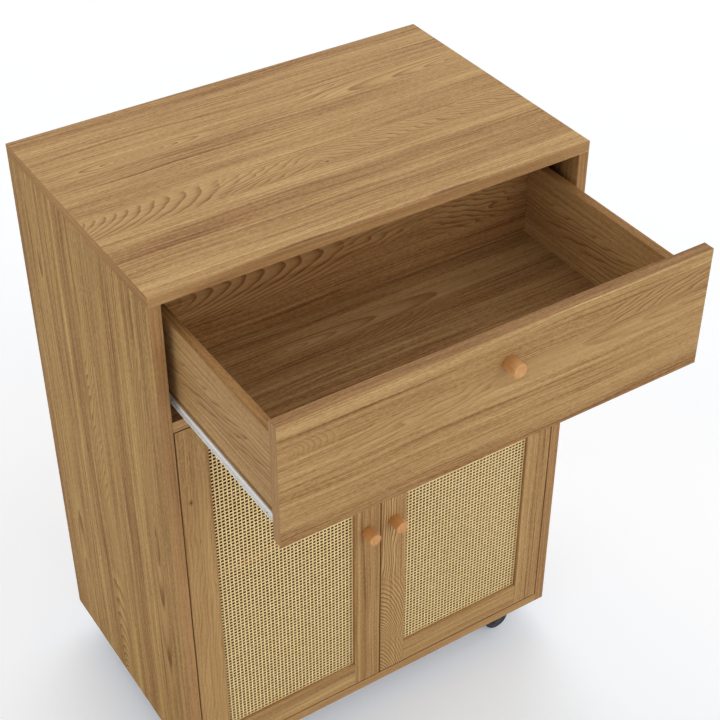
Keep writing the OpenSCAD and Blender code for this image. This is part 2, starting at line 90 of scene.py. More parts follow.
# The sRGB curve: a straight start up to the knee, then a power
SRGB_KNEE = 0.04045
SRGB_START = 12.92
SRGB_OFFSET = 0.055
SRGB_POWER = 2.4


def linear(value):
    """One sRGB channel from 0 to 255 as linear light."""
    share = value / 255
    if share <= SRGB_KNEE:
        return share / SRGB_START
    return ((share + SRGB_OFFSET) / (1 + SRGB_OFFSET)) ** SRGB_POWER


def colour(red, green, blue):
    """An sRGB colour as the linear colour that shaders take."""
    return (linear(red), linear(green), linear(blue), 1.0)


class Tree:
    """Short ways to add and join the nodes of a material or a node group."""

    def __init__(self, tree):
        self.tree = tree

    def add(self, kind, **settings):
        node = self.tree.nodes.new(kind)
        for name, value in settings.items():
            setattr(node, name, value)
        return node

    def put(self, value, socket):
        """Set a socket to a number or join it to another socket."""
        if isinstance(value, bpy.types.NodeSocket):
            self.tree.links.new(value, socket)
        else:
            socket.default_value = value

    def math(self, operation, first, second=0.0, third=0.0):
        node = self.add("ShaderNodeMath", operation=operation)
        for value, socket in zip((first, second, third), node.inputs):
            self.put(value, socket)
        return node.outputs[0]

    def mix(self, factor, first, second):
        """Blend two numbers."""
        node = self.add("ShaderNodeMix", data_type="FLOAT")
        self.put(factor, node.inputs[0])
        self.put(first, node.inputs[2])
        self.put(second, node.inputs[3])
        return node.outputs[0]

    def tint(self, factor, first, second):
        """Blend two colours."""
        node = self.add("ShaderNodeMix", data_type="RGBA")
        self.put(factor, node.inputs[0])
        self.put(first, node.inputs[6])
        self.put(second, node.inputs[7])
        return node.outputs[2]

    def vector(self, x, y, z):
        node = self.add("ShaderNodeCombineXYZ")
        for value, socket in zip((x, y, z), node.inputs):
            self.put(value, socket)
        return node.outputs[0]

    def noise(self, x, y, z, detail=1.0, roughness=0.5):
        """Smooth noise around NOISE_MIDDLE at a point given in cells."""
        node = self.add("ShaderNodeTexNoise")
        self.put(self.vector(x, y, z), node.inputs["Vector"])
        node.inputs["Scale"].default_value = 1.0
        node.inputs["Detail"].default_value = detail
        node.inputs["Roughness"].default_value = roughness
        return node.outputs[0]

    def sway(self, noise, amount, base=0.0):
        """Let a noise move base to both sides of where it is."""
        return self.math("MULTIPLY_ADD", self.math("SUBTRACT", noise, NOISE_MIDDLE), amount, base)

    def ease(self, value, start, end):
        """Smooth step from 0 at start to 1 at end."""
        node = self.add("ShaderNodeMapRange", interpolation_type="SMOOTHSTEP")
        for amount, socket in zip((value, start, end), node.inputs):
            self.put(amount, socket)
        return node.outputs[0]

    def ramp(self, value, stops, colours=False):
        """A ramp through (place, level) or (place, colour) stops."""
        node = self.add("ShaderNodeValToRGB")
        elements = node.color_ramp.elements
        while len(elements) < len(stops):
            elements.new(0.5)
        for element, (place, level) in zip(elements, stops):
            element.position = place
            element.color = level if colours else (level, level, level, 1.0)
        self.put(value, node.inputs[0])
        return node.outputs[0]

    def place(self):
        """The object's own coordinates in metres, as x, y and z."""
        split = self.add("ShaderNodeSeparateXYZ")
        self.put(self.add("ShaderNodeTexCoord").outputs["Object"], split.inputs[0])
        return split.outputs


def group(name, inputs, outputs, fill):
    """A node group with number sockets. fill gets the tree and its inputs and returns its outputs."""
    made = bpy.data.node_groups.new(name, "ShaderNodeTree")
    for label in inputs:
        made.interface.new_socket(label, in_out="INPUT", socket_type="NodeSocketFloat")
    for label in outputs:
        made.interface.new_socket(label, in_out="OUTPUT", socket_type="NodeSocketFloat")
    tree = Tree(made)
    entry = tree.add("NodeGroupInput")
    leave = tree.add("NodeGroupOutput")
    results = fill(tree, *entry.outputs[: len(inputs)])
    for value, socket in zip(results, leave.inputs):
        tree.put(value, socket)
    return made


def use(tree, made, *values):
    """Add a group to a tree with these inputs and return its outputs."""
    node = tree.add("ShaderNodeGroup")
    node.node_tree = made
    for value, socket in zip(values, node.inputs):
        tree.put(value, socket)
    return node.outputs


# Straight grain, with lengths in millimetres. Its waves: length, width and shift of the noise,
# and how far each bends the grain
WIDE_WAVE = (260, 110, 0.0)
WIDE_BEND = 9
SMALL_WAVE = (75, 28, 3.7)
SMALL_BEND = 3

# Its streaks: length, width, shift and detail of the noise, and the share of each in the tone
STREAK_ROUGHNESS = 0.65
BROAD_STREAK = (600, 12, 5.1, 2)
BROAD_SHARE = 0.55
MEDIUM_STREAK = (520, 3.8, 9.3, 2)
MEDIUM_SHARE = 0.50
FINE_STREAK = (170, 1.5, 13.9, 2)
FINE_SHARE = 0.85
FLECK_STREAK = (5, 1.1, 21.4, 1)
FLECK_SHARE = 0.64

# Its dark lines: how far apart they are, the noise that moves them and by how many spacings, the noise
# in which they fade in and between which levels, and their share in the tone
LINE_SPACING = 6.5
LINE_DRIFT = (500, 40, 27.2, 0)
DRIFT_REACH = 5.0
LINE_FADING = (240, 16, 33.8, 1)
FADE_START = 0.42
FADE_END = 0.66
LINE_SHARE = -0.26

# Darkness across one growth ring, from its pale early wood to its thin late line
GRAIN_LINE = ((0.0, 0.0), (0.55, 0.25), (0.84, 0.85), (0.92, 1.0), (1.0, 0.0))


def fill_grain(tree, u, v, seed):
    """Straight grain along u, with gentle waves: its tone, the bent v, and its finest streaks."""

    def layer(side, length, width, shift, detail=1, roughness=0.5):
        return tree.noise(
            tree.math("DIVIDE", u, length),
            tree.math("DIVIDE", side, width),
            tree.math("ADD", seed, shift),
            detail,
            roughness,
        )

    bend = tree.sway(layer(v, *WIDE_WAVE), WIDE_BEND)
    bend = tree.sway(layer(v, *SMALL_WAVE), SMALL_BEND, bend)
    across = tree.math("ADD", v, bend)
    broad, medium, fine, fleck, drift, fading = (
        layer(across, *streak, STREAK_ROUGHNESS)
        for streak in (BROAD_STREAK, MEDIUM_STREAK, FINE_STREAK, FLECK_STREAK, LINE_DRIFT, LINE_FADING))
    phase = tree.math("MULTIPLY_ADD", drift, DRIFT_REACH, tree.math("DIVIDE", across, LINE_SPACING))
    line = tree.ramp(tree.math("FRACT", phase), GRAIN_LINE)
    line = tree.math("MULTIPLY", line, tree.ease(fading, FADE_START, FADE_END))
    tone = tree.sway(broad, BROAD_SHARE)
    tone = tree.sway(medium, MEDIUM_SHARE, tone)
    tone = tree.sway(fine, FINE_SHARE, tone)
    tone = tree.sway(fleck, FLECK_SHARE, tone)
    tone = tree.math("MULTIPLY_ADD", line, LINE_SHARE, tone)
    return tone, across, fine


GRAIN_GROUP = group("grain", ("U", "V", "Seed"), ("Tone", "Across", "Fine"), fill_grain)


def sum_of_squares(tree, along, across):
    """The square of a distance, from its two parts."""
    return tree.math("ADD", tree.math("MULTIPLY", along, along), tree.math("MULTIPLY", across, across))


def fill_oval(tree, u, v, centre_u, centre_v, half_u, half_v):
    """1 at the centre of a soft oval and 0 outside it."""
    along = tree.math("DIVIDE", tree.math("SUBTRACT", u, centre_u), half_u)
    across = tree.math("DIVIDE", tree.math("SUBTRACT", v, centre_v), half_v)
    return (tree.ease(sum_of_squares(tree, along, across), 1.0, 0.0),)


OVAL_GROUP = group("oval", ("U", "V", "Centre U", "Centre V", "Half U", "Half V"), ("Mask",), fill_oval)


def fill_field(tree, u, v, start_u, end_u, start_v, end_v, soft_u, soft_v):
    """1 inside a box of the board's face, easing to 0 over its soft edges."""
    after_u = tree.ease(u, start_u, tree.math("ADD", start_u, soft_u))
    before_u = tree.ease(u, end_u, tree.math("SUBTRACT", end_u, soft_u))
    after_v = tree.ease(v, start_v, tree.math("ADD", start_v, soft_v))
    before_v = tree.ease(v, end_v, tree.math("SUBTRACT", end_v, soft_v))
    inside_u = tree.math("MULTIPLY", after_u, before_u)
    inside_v = tree.math("MULTIPLY", after_v, before_v)
    return (tree.math("MULTIPLY", inside_u, inside_v),)


FIELD_GROUP = group(
    "field",
    ("U", "V", "Start U", "End U", "Start V", "End V", "Soft U", "Soft V"),
    ("Mask",),
    fill_field,
)


# Noise that bends the figures, in millimetres: its width, its length in rings and in lines, and how many
# spacings it moves the lines
FIGURE_WAVE_WIDTH = 14
RINGS_WAVE_LENGTH = 36
LINES_WAVE_LENGTH = 60
LINES_WOBBLE = 2.4

# Square of the smallest ring's radius, which keeps the logarithm above zero
RING_CORE = 1.0


def figure_wave(tree, u, v, length, seed):
    """Gentle noise that keeps a figure from being drawn too straight."""
    return tree.noise(tree.math("DIVIDE", u, length), tree.math("DIVIDE", v, FIGURE_WAVE_WIDTH), seed)


def fill_rings(tree, u, v, centre_u, centre_v, stretch, turns, shift, wobble, seed):
    """Growth rings cut at a flat angle: long ovals whose spacing grows outwards. 0 to 1 across each ring."""
    wave = figure_wave(tree, u, v, RINGS_WAVE_LENGTH, seed)
    along = tree.math("DIVIDE", tree.math("SUBTRACT", u, centre_u), stretch)
    across = tree.math("SUBTRACT", v, centre_v)
    radius = tree.math("SQRT", tree.math("ADD", sum_of_squares(tree, along, across), RING_CORE))
    radius = tree.math("MULTIPLY_ADD", radius, tree.sway(wave, wobble), radius)
    phase = tree.math("MULTIPLY_ADD", tree.math("LOGARITHM", radius, math.e), turns, shift)
    return (tree.math("FRACT", phase),)


RINGS_GROUP = group(
    "rings",
    ("U", "V", "Centre U", "Centre V", "Stretch", "Turns", "Shift", "Wobble", "Seed"),
    ("Ring",),
    fill_rings,
)


def fill_lines(tree, u, v, slope, spacing, seed):
    """Growth rings that run slanting across the grain. 0 to 1 across each ring."""
    wave = figure_wave(tree, u, v, LINES_WAVE_LENGTH, seed)
    slanted = tree.math("DIVIDE", tree.math("MULTIPLY_ADD", u, slope, v), spacing)
    return (tree.math("FRACT", tree.math("MULTIPLY_ADD", wave, LINES_WOBBLE, slanted)),)


LINES_GROUP = group("lines", ("U", "V", "Slope", "Spacing", "Seed"), ("Ring",), fill_lines)

# Figures drawn on a board, in millimetres along and across its grain. An oval is a soft spot that changes
# the tone. Rings are ovals round a centre, stretched along the grain, with this many turns each time they
# grow by a factor of e. Their shift is a share of a ring, and their wobble a share of the radius. Lines
# rise by their slope. A field is where rings or lines show: start and end along the grain, start and end
# across it, and how softly it ends each way. Their depth is how far they change the tone
Oval = namedtuple("Oval", "along across half_length half_width change")
Rings = namedtuple("Rings", "field centre stretch turns shift wobble depth")
Lines = namedtuple("Lines", "field slope spacing depth")

# Colours of the wood from its darkest tone, 0, to its palest, 1
OAK = (
    (0.00, colour(112, 75, 44)),
    (0.22, colour(142, 102, 64)),
    (0.40, colour(162, 124, 79)),
    (0.55, colour(177, 140, 92)),
    (0.75, colour(194, 159, 107)),
    (1.00, colour(214, 184, 130)),
)
OAK_UPRIGHT = (
    (0.00, colour(114, 74, 38)),
    (0.22, colour(142, 102, 57)),
    (0.40, colour(162, 123, 71)),
    (0.55, colour(178, 141, 84)),
    (0.75, colour(196, 161, 99)),
    (1.00, colour(214, 185, 123)),
)
OAK_BAND = (
    (0.00, colour(111, 78, 47)),
    (0.25, colour(141, 104, 66)),
    (0.50, colour(167, 127, 84)),
    (0.75, colour(184, 144, 97)),
    (1.00, colour(204, 166, 118)),
)
# The bands that run from front to back are a shade deeper: shares of red, green, blue and alpha
DEEP_SHARES = (0.95, 0.90, 0.74, 1.0)
OAK_BAND_DEEP = tuple(
    (place, tuple(channel * share for channel, share in zip(tone, DEEP_SHARES))) for place, tone in OAK_BAND)


def measured(tree, grain, across):
    """U and V in millimetres from the object's own coordinates.

    grain and across each say how one is measured: (axis, sign, origin in metres).
    """
    place = tree.place()
    results = []
    for axis, sign, origin in (grain, across):
        scale = sign / MM
        results.append(tree.math("MULTIPLY_ADD", place[axis], scale, -origin * scale))
    return results


# Height of every relief where its strength is 1
BUMP_DEPTH = 0.1 * MM


def finish(tree, base, height, roughness, specular, relief, metallic=0.0):
    """Close a material with one shader of this colour, and a relief from height."""
    shader = tree.add("ShaderNodeBsdfPrincipled")
    tree.put(base, shader.inputs["Base Color"])
    shader.inputs["Roughness"].default_value = roughness
    shader.inputs["Metallic"].default_value = metallic
    shader.inputs["Specular IOR Level"].default_value = specular
    bump = tree.add("ShaderNodeBump")
    bump.inputs["Strength"].default_value = relief
    bump.inputs["Distance"].default_value = BUMP_DEPTH
    tree.put(height, bump.inputs["Height"])
    tree.put(bump.outputs[0], shader.inputs["Normal"])
    leave = tree.add("ShaderNodeOutputMaterial")
    tree.put(shader.outputs[0], leave.inputs["Surface"])


WOOD_ROUGHNESS = 0.58
WOOD_SPECULAR = 0.08
WOOD_RELIEF = 0.25


def finish_wood(tree, tone, fine, stops):
    """Turn a tone from 0 to 1 into oak with a faint grain relief."""
    base = tree.ramp(tone, stops, colours=True)
    finish(tree, base, fine, WOOD_ROUGHNESS, WOOD_SPECULAR, WOOD_RELIEF)


def new_material(name):
    made = bpy.data.materials.new(name)
    made.use_nodes = True
    made.node_tree.nodes.clear()
    return made, Tree(made.node_tree)


# How pale the wood is between rings, and how much of the straight grain gives way to them
RING_PALE = 0.32
RING_CALM = 0.55


def oak(name, grain, across, strips, features=(), seed=0.0, stops=OAK, contrast=1.0):
    """Laminate with the look of oak boards.

    strips are (millimetres across, tone) pairs over the whole width. The features are drawn over them.
    """
    made, tree = new_material(name)
    u, v = measured(tree, grain, across)
    grain_tone, bent, fine = use(tree, GRAIN_GROUP, u, v, seed)
    width = strips[-1][0]
    places = [(place / width, tone) for place, tone in strips]
    tone = tree.ramp(tree.math("DIVIDE", bent, width), places)
    strength = contrast
    for number, figure in enumerate(features):
        if isinstance(figure, Oval):
            *outline, change = figure
            mask = use(tree, OVAL_GROUP, u, bent, *outline)[0]
            tone = tree.math("MULTIPLY_ADD", mask, change, tone)
            continue
        if isinstance(figure, Rings):
            field, centre, *spread, depth = figure
            ring = use(tree, RINGS_GROUP, u, v, *centre, *spread, seed + number)[0]
        else:
            field, slope, spacing, depth = figure
            ring = use(tree, LINES_GROUP, u, v, slope, spacing, seed + number)[0]
        mask = use(tree, FIELD_GROUP, u, v, *field)[0]
        dark = tree.math("SUBTRACT", RING_PALE, tree.ramp(ring, GRAIN_LINE))
        tone = tree.math("MULTIPLY_ADD", tree.math("MULTIPLY", mask, dark), depth, tone)
        strength = tree.math("MULTIPLY", strength, tree.math("MULTIPLY_ADD", mask, -RING_CALM, 1.0))
    tone = tree.math("MULTIPLY_ADD", grain_tone, strength, tone)
    finish_wood(tree, tone, fine, stops)
    return made


# How strongly the grain shows on the edge bands
BAND_GRAIN = 0.85


def band(name, axis, seed, level, stops=OAK_BAND):
    """Edge band whose grain runs along one axis.

    The other two axes are added up, so that it suits every face.
    """
    made, tree = new_material(name)
    place = tree.place()
    others = [place[other] for other in (X, Y, Z) if other != axis]
    u = tree.math("DIVIDE", place[axis], MM)
    v = tree.math("DIVIDE", tree.math("ADD", *others), MM)
    grain_tone, _, fine = use(tree, GRAIN_GROUP, u, v, seed)
    finish_wood(tree, tree.math("MULTIPLY_ADD", grain_tone, BAND_GRAIN, level), fine, stops)
    return made


# Paint, plastic and metal: share of the colour in their darker patches, patches per metre, and their shine
PATCH_SHARE = 0.92
PATCHES = 40.0
PLAIN_SPECULAR = 0.5


def plain(name, base, roughness, grit, grit_size=0.6, metallic=0.0):
    """Paint, plastic or metal with a faint uneven surface. grit_size is in millimetres."""
    made, tree = new_material(name)
    place = tree.add("ShaderNodeTexCoord").outputs["Object"]
    grain = tree.add("ShaderNodeTexNoise")
    grain.inputs["Scale"].default_value = 1 / (grit_size * MM)
    patches = tree.add("ShaderNodeTexNoise")
    patches.inputs["Scale"].default_value = PATCHES
    for noise in (grain, patches):
        tree.put(place, noise.inputs["Vector"])
    darker = tuple(channel * PATCH_SHARE for channel in base[:3]) + (1.0,)
    mottled = tree.tint(patches.outputs[0], darker, base)
    finish(tree, mottled, grain.outputs[0], roughness, PLAIN_SPECULAR, grit, metallic)
    return made


# The record's body of each node
BODY_OF = {node: body for body, nodes in frame["record"]["behaviour"]["bodies"].items() for node in nodes}


def adopt(piece, node):
    """Let a piece stand for a CAD node: same body."""
    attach(piece, BODY_OF[node])
    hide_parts(node)


def placed(name, data):
    """A new object in the scene."""
    made = bpy.data.objects.new(name, data)
    bpy.context.scene.collection.objects.link(made)
    return made


def copied(node, name):
    """A new object, and a welded copy of a node's mesh to work on."""
    made = bmesh.new()
    made.from_mesh(frame["nodes"][node].data)
    bmesh.ops.remove_doubles(made, verts=made.verts, dist=WELD_WITHIN)
    bmesh.ops.dissolve_limit(made, angle_limit=FLAT_TURN, verts=made.verts, edges=made.edges)
    return made, placed(name, bpy.data.meshes.new(name))


def round_edges(made):
    """Take the sharpness off the long outer edges."""
    made.normal_update()
    sharp = [
        edge for edge in made.edges
        if edge.is_manifold and edge.is_convex
        and edge.calc_face_angle(0.0) > SHARP_TURN and edge.calc_length() > SHORTEST_ROUNDED
    ]
    bmesh.ops.bevel(
        made, geom=sharp, offset=EDGE_ROUND, offset_type="OFFSET", segments=EDGE_STEPS,
        profile=ROUND_PROFILE, affect="EDGES", clamp_overlap=False)


def board(node, name, grain, thick, face, edges):
    """Dress a flat board: laminate on its faces, edge band on the rest, edges just broken.

    grain is the axis that the board's grain runs along, and thick the axis of its thickness.
    """
    made, piece = copied(node, name)
    round_edges(made)
    made.normal_update()
    wide = ({X, Y, Z} - {grain, thick}).pop()
    facing = (thick, wide, grain)
    for surface in made.faces:
        steepest = max((X, Y, Z), key=lambda axis: abs(surface.normal[axis]))
        surface.material_index = facing.index(steepest)
    made.to_mesh(piece.data)
    made.free()
    for material in (face, edges[grain], edges[wide]):
        piece.data.materials.append(material)
    adopt(piece, node)


def smooth(node, name, material):
    """Dress a turned or formed piece: same shape, smooth where it curves."""
    made, piece = copied(node, name)
    made.to_mesh(piece.data)
    made.free()
    for polygon in piece.data.polygons:
        polygon.use_smooth = True
    piece.data.set_sharp_from_angle(angle=SHARP_TURN)
    piece.data.materials.append(material)
    adopt(piece, node)


# Places that the figures are measured from
top_low, top_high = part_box("top_panel")
front_low, front_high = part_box("drawer_front")
cabinet_left = top_low[X]
cabinet_back = top_high[Y]
cabinet_front = top_low[Y]

# Edge bands by the axis of their grain
EDGES = [
    band("edge_band_x", X, seed=23.0, level=0.71),
    band("edge_band_y", Y, seed=7.0, level=0.56, stops=OAK_BAND_DEEP),
    band("edge_band_z", Z, seed=11.0, level=0.55),
]
DRAWER_EDGES = [
    band("drawer_band_x", X, seed=4.0, level=0.33),
    band("drawer_band_y", Y, seed=8.0, level=0.32, stops=OAK_BAND_DEEP),
    band("drawer_band_z", Z, seed=12.0, level=0.60),
]

TOP = oak(
    "oak_top",
    (X, 1, cabinet_left), (Y, -1, cabinet_back),
    (
        (0, 0.47), (14, 0.47), (22, 0.40), (30, 0.60), (42, 0.58), (55, 0.51), (66, 0.60), (84, 0.53),
        (92, 0.60), (120, 0.60), (126, 0.50), (146, 0.50), (152, 0.62), (166, 0.58), (176, 0.50),
        (186, 0.46), (200, 0.54), (214, 0.60), (226, 0.53), (238, 0.50), (250, 0.52), (260, 0.60),
        (276, 0.61), (284, 0.38), (306, 0.42), (312, 0.47), (320, 0.46), (330, 0.47), (348, 0.55),
        (358, 0.67), (370, 0.60), (380, 0.58),
    ),
    (
        Rings((-60, 205, 210, 256, 60, 7), (-141, 214), 4.2, 13, 0.74, 0.035, 0.44),
        Lines((130, 320, 212, 256, 60, 9), 0.30, 6.0, 0.42),
        Lines((270, 640, 211, 253, 60, 10), -0.38, 6.5, 0.36),
        Rings((0, 245, 96, 126, 60, 7), (125, 111), 10, 2.4, 0.93, 0.08, 0.50),
        Rings((330, 620, 88, 122, 60, 7), (640, 112), 13, 2.6, 0.6, 0.08, 0.45),
        Lines((320, 440, 84, 122, 40, 7), 0.20, 7.0, 0.35),
        Lines((30, 160, 122, 146, 40, 6), 0.22, 5.0, 0.25),
        Oval(120, 151, 170, 1.8, -0.30),
        Oval(380, 73, 150, 1.6, -0.30),
        Oval(150, 47, 110, 1.6, -0.25),
        Oval(100, 316, 260, 2.0, 0.20),
        Oval(420, 315, 260, 1.8, 0.16),
        Oval(306, 246, 3, 1.6, -0.70),
        Oval(190, 381, 62, 7, -0.40),
        Oval(400, 381, 50, 8, -0.40),
    ),
    seed=1.0,
)

SIDE = oak(
    "oak_left_side",
    (Z, -1, top_high[Z]), (Y, 1, cabinet_front),
    (
        (0, 0.48), (30, 0.42), (38, 0.50), (64, 0.47), (76, 0.48), (84, 0.55), (98, 0.60), (106, 0.42),
        (116, 0.48), (128, 0.34), (137, 0.52), (150, 0.45), (165, 0.51), (185, 0.52), (200, 0.54),
        (214, 0.48), (226, 0.34), (238, 0.42), (252, 0.46), (261, 0.66), (268, 0.47), (300, 0.46),
        (312, 0.54), (326, 0.57), (335, 0.52), (350, 0.45), (365, 0.43), (380, 0.44),
    ),
    (
        Rings((220, 700, 35, 66, 60, 6), (300, 50), 13, 2.4, 0.2, 0.08, 0.30),
        Lines((80, 300, 37, 66, 50, 7), -0.10, 6.0, 0.35),
        Rings((560, 840, 186, 222, 50, 8), (860, 209), 4.2, 6.6, 0.0, 0.08, 0.45),
        Lines((180, 480, 186, 222, 60, 9), -0.30, 6.0, 0.45),
        Lines((450, 620, 186, 222, 50, 9), 0.22, 6.0, 0.35),
        Rings((20, 200, 306, 338, 40, 7), (20, 320), 14, 2.6, 0.93, 0.08, 0.36),
        Rings((490, 740, 306, 338, 60, 7), (860, 320), 14, 2.6, 0.04, 0.08, 0.36),
        Oval(620, 136, 260, 1.8, 0.24),
        Oval(150, 127, 130, 1.6, -0.30),
        Oval(400, 260, 380, 2.4, 0.14),
        Oval(120, 259, 170, 1.6, 0.30),
        Oval(55, 47, 52, 7, -0.20),
        Oval(408, 46, 46, 8, -0.20),
        Oval(500, 50, 36, 8, -0.26),
        Oval(624, 49, 42, 8, -0.28),
        Oval(390, 243, 12, 3, -0.30),
        Oval(140, 320, 28, 7, -0.22),
        Oval(590, 317, 26, 7, -0.18),
    ),
    seed=2.0,
    stops=OAK_UPRIGHT,
    contrast=1.15,
)

# Strips of the boards that the photograph hardly shows or doesn't show. The inside strips are painted dark:
# painted shade for the inside of the cabinet, behind the cane
SHADED_INSIDE_STRIPS = (
    (0, 0.22), (40, 0.28), (75, 0.24), (120, 0.18), (150, 0.30), (215, 0.24), (260, 0.18), (290, 0.28),
    (400, 0.22),
)
PLAIN_STRIPS = (
    (0, 0.48), (30, 0.44), (40, 0.56), (75, 0.52), (95, 0.42), (120, 0.46), (135, 0.58), (180, 0.52),
    (215, 0.56), (225, 0.42), (250, 0.44), (262, 0.60), (290, 0.48), (330, 0.54), (360, 0.46), (400, 0.50),
)
RIGHT_SIDE = oak(
    "oak_right_side",
    (Z, -1, top_high[Z]), (Y, -1, cabinet_back), PLAIN_STRIPS,
    (
        Rings((120, 640, 180, 216, 60, 8), (160, 196), 12, 2.6, 0.1, 0.08, 0.45),
        Rings((300, 860, 280, 345, 120, 16), (900, 312), 12, 4.0, 0.3, 0.12, 0.40),
        Oval(360, 128, 330, 1.8, -0.18),
    ),
    seed=5.0,
)
# The lying boards inside the cabinet carry painted shade through their dark strips
LYING = oak(
    "oak_lying_board_shaded",
    (X, 1, cabinet_left), (Y, -1, cabinet_back), SHADED_INSIDE_STRIPS,
    (Rings((150, 520, 95, 132, 60, 8), (180, 112), 12, 2.6, 0.1, 0.08, 0.45),),
    seed=8.0,
)
BACK = oak(
    "oak_back_panel",
    (Z, -1, top_high[Z]), (X, 1, cabinet_left),
    (
        (0, 0.46), (40, 0.54), (80, 0.50), (110, 0.42), (130, 0.56), (200, 0.50), (240, 0.58), (270, 0.44),
        (330, 0.52), (360, 0.60), (400, 0.48), (440, 0.42), (470, 0.56), (540, 0.50), (600, 0.46),
    ),
    (
        Rings((60, 520, 80, 122, 70, 9), (100, 100), 12, 2.6, 0.1, 0.08, 0.45),
        Rings((300, 860, 370, 430, 120, 16), (900, 400), 12, 4.0, 0.3, 0.12, 0.40),
    ),
    seed=6.0,
)
FRONT = oak(
    "oak_drawer_front",
    (X, 1, front_low[X]), (Z, -1, front_high[Z]),
    (
        (0, 0.66), (10, 0.70), (14, 0.66), (19, 0.46), (30, 0.50), (38, 0.50), (46, 0.45), (52, 0.55),
        (58, 0.62), (68, 0.57), (76, 0.61), (88, 0.55), (95, 0.55), (100, 0.54), (108, 0.59), (118, 0.52),
        (130, 0.58), (142, 0.50), (149, 0.39), (157, 0.36), (162, 0.39),
    ),
    (
        Rings((5, 85, 22, 50, 30, 8), (-60, 40), 4, 15, 0.0, 0.04, 0.22),
        Lines((400, 590, 18, 50, 40, 8), 0.24, 6.0, 0.45),
        Rings((240, 570, 42, 80, 50, 8), (600, 60), 12, 2.0, 0.2, 0.08, 0.18),
        Lines((40, 300, 42, 84, 70, 12), 0.16, 9.0, 0.28),
        Oval(210, 94, 120, 2.4, -0.18),
        Oval(120, 20, 200, 1.6, -0.24),
        Oval(450, 19, 160, 1.6, -0.24),
    ),
    seed=3.0,
)
DRAWER_ALONG = oak(
    "oak_drawer_side",
    (Y, 1, cabinet_front), (Z, -1, front_high[Z]),
    ((0, 0.54), (30, 0.50), (45, 0.60), (80, 0.54), (95, 0.46), (120, 0.56), (162, 0.54)),
    (Lines((-300, 40, 60, 110, 40, 12), -0.14, 7.0, 0.40),),
    seed=4.0,
)
DRAWER_BACK = oak(
    "oak_drawer_back",
    (X, 1, cabinet_left), (Z, -1, front_high[Z]),
    ((0, 0.50), (30, 0.56), (55, 0.46), (70, 0.39), (95, 0.32), (120, 0.39), (162, 0.42)),
    (
        Rings((50, 310, 20, 104, 50, 22), (-310, 56), 10, 20, 0.2, 0.03, 0.48),
        Lines((250, 410, 40, 84, 60, 14), 0.20, 8.0, 0.42),
        Lines((390, 570, 40, 104, 60, 16), -0.30, 8.0, 0.42),
    ),
    seed=7.0,
)
DRAWER_FLOOR = oak(
    "oak_drawer_floor",
    (X, 1, cabinet_left), (Y, -1, cabinet_back),
    (
        (0, 0.50), (300, 0.46), (316, 0.38), (332, 0.39), (346, 0.51), (374, 0.51), (384, 0.38), (398, 0.36),
        (410, 0.47), (426, 0.49), (436, 0.36), (456, 0.34), (470, 0.47), (520, 0.42), (640, 0.48),
    ),
    (
        Rings((130, 480, 350, 384, 60, 9), (120, 366), 13, 2.6, 0.1, 0.08, 0.34),
        Lines((230, 400, 378, 412, 60, 10), 0.26, 6.0, 0.30),
        Oval(195, 366, 58, 7, 0.12),
    ),
    seed=9.0,
)


def stile(node, seed, strips, features=()):
    """Laminate of an upright door piece, measured down from the door's top and from its left edge."""
    low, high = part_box(node)
    name = "oak_" + node.replace("_door", "")
    return oak(name, (Z, -1, high[Z]), (X, 1, low[X]), strips, features, seed=seed)


def rail(node, seed, strips):
    """Laminate of a level door piece, measured from its left end and down from its upper edge."""
    low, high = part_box(node)
    name = "oak_" + node.replace("_door", "")
    return oak(name, (X, 1, low[X]), (Z, -1, high[Z]), strips, seed=seed)


LEFT_OUTER = stile(
    "left_door_outer_stile",
    seed=12.0,
    strips=((0, 0.42), (5, 0.52), (14, 0.60), (24, 0.56), (32, 0.58), (40.5, 0.50)),
    features=(
        Lines((40, 560, -2, 42, 60, 6), 0.05, 5.0, 0.20),
        Oval(114, 12, 7, 3.4, -0.28),
        Oval(114, 12, 2.6, 1.7, -0.42),
        Oval(182, 20, 5, 1.8, -0.18),
    ),
)
LEFT_INNER = stile(
    "left_door_inner_stile",
    seed=13.7,
    strips=((0, 0.50), (4, 0.52), (6, 0.64), (9, 0.58), (10.5, 0.49), (18, 0.48), (28, 0.50), (40.5, 0.48)),
)
RIGHT_INNER = stile(
    "right_door_inner_stile",
    seed=14.0,
    strips=((0, 0.50), (8, 0.50), (16, 0.55), (30, 0.58), (40.5, 0.52)),
    features=(
        Rings((385, 570, -10, 44, 60, 9), (600, -6), 3.45, 20, 0.2, 0.045, 0.78),
        Rings((515, 640, -10, 42, 40, 9), (700, -8), 3.5, 20, 0.5, 0.045, 0.72),
        Lines((90, 430, -2, 28, 60, 6), 0.03, 4.2, 0.95),
    ),
)
RIGHT_OUTER = stile(
    "right_door_outer_stile",
    seed=15.0,
    strips=((0, 0.52), (10, 0.50), (20, 0.56), (30, 0.48), (40.5, 0.52)),
)
RAIL_STRIPS = ((0, 0.58), (10, 0.54), (22, 0.60), (32, 0.56), (40.5, 0.52))
RAILS = {
    (side, end): rail(f"{side}_door_{end}_rail", seed, RAIL_STRIPS)
    for side, end, seed in (
        ("left", "top", 16.0), ("left", "bottom", 17.5), ("right", "top", 19.0), ("right", "bottom", 20.5))
}

